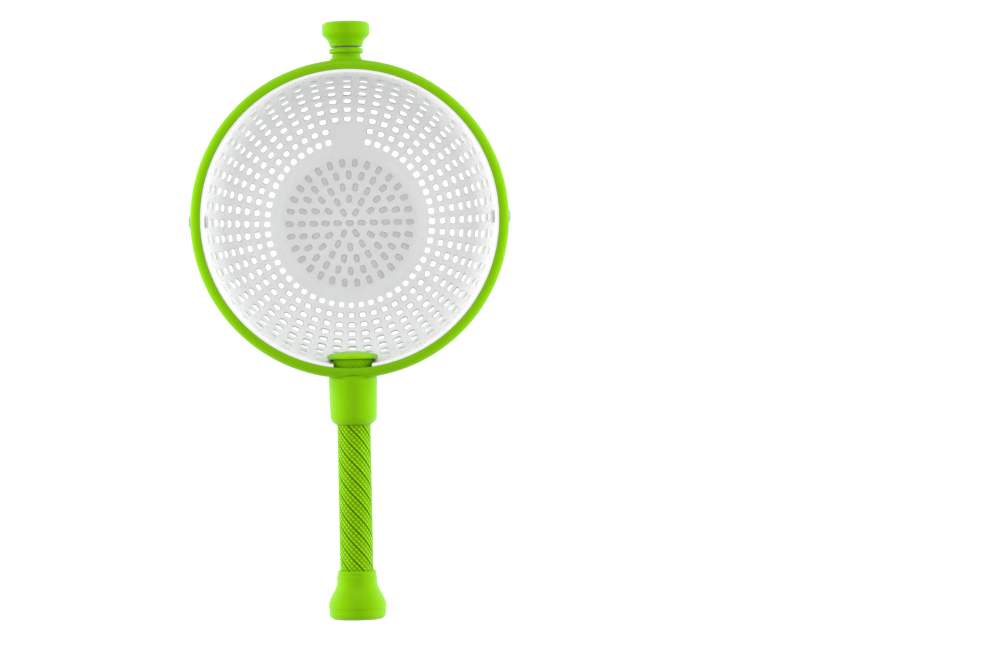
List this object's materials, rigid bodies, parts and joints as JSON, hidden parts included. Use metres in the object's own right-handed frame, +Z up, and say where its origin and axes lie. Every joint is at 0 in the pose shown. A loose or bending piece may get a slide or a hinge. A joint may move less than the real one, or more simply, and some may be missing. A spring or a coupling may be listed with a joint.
{
  "type": "salad spinner",
  "caption": "Hand-held salad spinner: perforated bowl in a round hoop, with a knurled handle that slides and turns on one side and a turning foot knob on the other.",
  "frame": {"origin": "centre of the bowl's foot ring, on the plane it rests on", "axes": "+Z up out of the bowl; -Y along the handle towards its grip; +Y towards the foot knob; +X towards the right-hand screw"},
  "size_m": [0.2188, 0.406, 0.0976],
  "materials": {
    "lime_plastic": "satin moulded",
    "bowl_plastic": "smooth translucent",
    "disc_plastic": "smooth",
    "bearing_plastic": "matte",
    "steel": "turned",
    "brass": "turned"
  },
  "bodies": {
    "frame": {"basket": "bowl_plastic", "hoop": "lime_plastic", "handle_socket": "lime_plastic", "socket_clip": "steel", "screw_left": "steel", "screw_right": "steel", "nut_left": "steel", "nut_right": "steel", "pivot_insert": "brass", "pivot_screw": "steel", "thrust_washer": "bearing_plastic", "head_washer": "steel"},
    "turner": {"socket_bush": "bearing_plastic"},
    "handle": {"handle_tube": "lime_plastic", "stop_flange": "lime_plastic", "tube_plug": "lime_plastic", "end_grip": "lime_plastic", "end_disc": "disc_plastic", "grip_screw": "steel"},
    "foot": {"foot_knob": "lime_plastic", "foot_pad": "lime_plastic", "pivot_bush": "bearing_plastic"}
  },
  "joints": [
    {"name": "handle_turn", "type": "hinge", "parent": "frame", "child": "turner", "pos_m": [0, -0.12, 0.078], "axis": [0, 1, 0], "continuous": true},
    {"name": "handle_slide", "type": "slide", "parent": "turner", "child": "handle", "axis": [0, 1, 0], "range_m": [0, 0.098]},
    {"name": "foot_spin", "type": "hinge", "parent": "frame", "child": "foot", "pos_m": [0, 0.125, 0.078], "axis": [0, 1, 0], "continuous": true}
  ]
}
